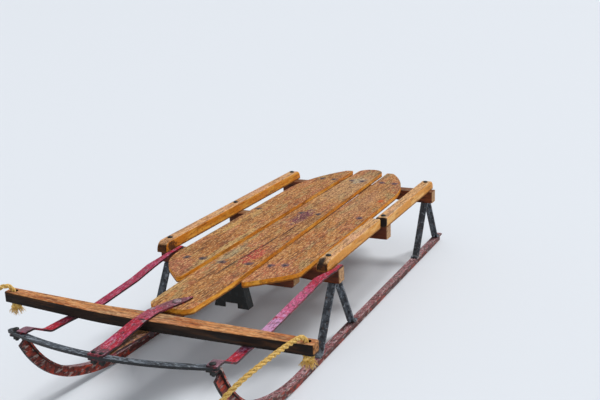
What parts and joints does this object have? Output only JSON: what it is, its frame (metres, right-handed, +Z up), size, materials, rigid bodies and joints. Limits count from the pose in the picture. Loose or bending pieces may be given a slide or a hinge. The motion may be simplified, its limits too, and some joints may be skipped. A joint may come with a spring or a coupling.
{
  "type": "steerable wooden runner sled",
  "caption": "Wooden coasting sled with slatted deck, side rails, steel knees and curled T-section runners, steered by a bar pivoted in a steel goose neck, with a pull rope.",
  "frame": {"origin": "on the floor, below the middle of the sled's overall length and width, the rope left out", "axes": "+Y towards the tail of the deck, so the sled goes forward along -Y; +X towards the sled's left side; +Z up"},
  "size_m": [0.642, 1.3509, 0.2039],
  "materials": {
    "deck_wood": "worn varnish, weathered",
    "bench_wood": "worn dark varnish",
    "rail_wood": "worn varnish",
    "bar_wood": "worn varnish",
    "runner_steel": "worn red paint over rusted steel",
    "red_paint": "worn gloss paint",
    "dark_steel": "worn dark paint",
    "bolt_steel": "weathered",
    "rope": "twisted yellow rope"
  },
  "bodies": {
    "sled": {"deck_slat_centre": "deck_wood", "deck_slat_left": "deck_wood", "deck_slat_right": "deck_wood", "bench_front": "bench_wood", "bench_middle": "bench_wood", "bench_rear": "bench_wood", "front_crosspiece": "bench_wood", "centre_bracket": "dark_steel", "side_rail_left": "rail_wood", "side_rail_left_front": "rail_wood", "side_rail_right": "rail_wood", "runner_left": "runner_steel", "runner_right": "runner_steel", "runner_front_left": "runner_steel", "runner_front_right": "runner_steel", "side_strip_left": "red_paint", "side_strip_right": "red_paint", "goose_neck_upper": "red_paint", "goose_neck_lower": "red_paint", "bumper": "dark_steel", "knee_front_left": "dark_steel", "knee_front_right": "dark_steel", "knee_rear_left": "dark_steel", "knee_rear_right": "dark_steel", "pivot_bolt": "bolt_steel", "nose_bolt": "bolt_steel"},
    "steering": {"steering_bar": "bar_wood", "rope_left": "rope", "rope_right": "rope", "rope_coil": "rope", "rope_knot_left": "rope", "rope_knot_right": "rope"}
  },
  "joints": [
    {"name": "steer", "type": "hinge", "parent": "sled", "child": "steering", "pos_m": [0, -0.47, 0.1692], "axis": [0, 0, 1], "range_deg": [-12, 12]}
  ]
}
